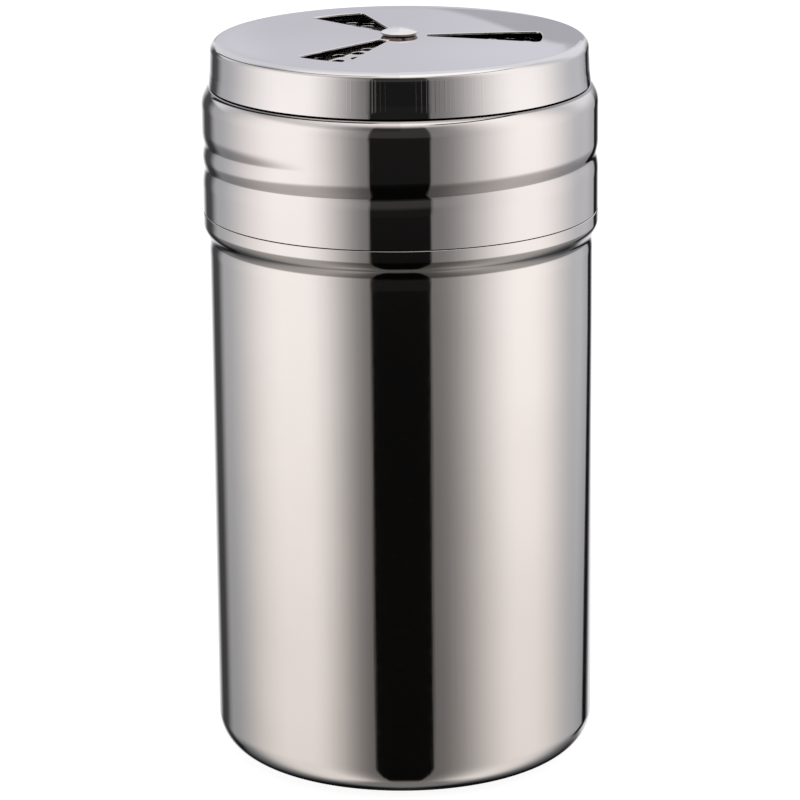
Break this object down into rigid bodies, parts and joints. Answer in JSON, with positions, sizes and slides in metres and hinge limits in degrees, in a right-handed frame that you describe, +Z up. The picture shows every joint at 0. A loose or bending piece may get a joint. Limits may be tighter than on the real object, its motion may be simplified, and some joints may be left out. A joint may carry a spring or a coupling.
{
  "type": "spice shaker",
  "caption": "Cylindrical stainless steel spice shaker with a threaded perforated lid and a turning cap that opens and closes wedge windows.",
  "frame": {"origin": "middle of the flat base, on the surface that the shaker stands on", "axes": "+Z up along the shaker's axis, -Y towards the viewer of the picture, +X to the viewer's right"},
  "size_m": [0.07, 0.07, 0.1317],
  "materials": {
    "canister_steel": "mirror-polished stainless steel with faint drawing marks",
    "lid_steel": "mirror-polished stainless steel",
    "cap_steel": "mirror-polished stainless steel, with fine upright drawing lines on the skirt",
    "rivet_steel": "polished steel",
    "washer_steel": "plain stamped steel"
  },
  "bodies": {
    "canister": {"canister": "canister_steel"},
    "pivot": {"pivot_rivet": "rivet_steel", "backing_washer": "washer_steel"},
    "lid": {"sieve_lid": "lid_steel", "spacer_washer": "washer_steel"},
    "cap": {"rotating_cap": "cap_steel"}
  },
  "joints": [
    {"name": "lid_rise", "type": "slide", "parent": "canister", "child": "pivot", "axis": [0, 0, 1], "range_m": [0, 0.0057]},
    {"name": "lid_turn", "type": "hinge", "parent": "pivot", "child": "lid", "pos_m": [0, 0, 0.1295], "axis": [0, 0, 1], "range_deg": [0, 480]},
    {"name": "cap_turn", "type": "hinge", "parent": "lid", "child": "cap", "pos_m": [0, 0, 0.1303], "axis": [0, 0, 1], "continuous": true}
  ],
  "couplings": [
    {"joint": "lid_rise", "follows": "lid_turn", "m_per_rad": 0.00066845}
  ]
}
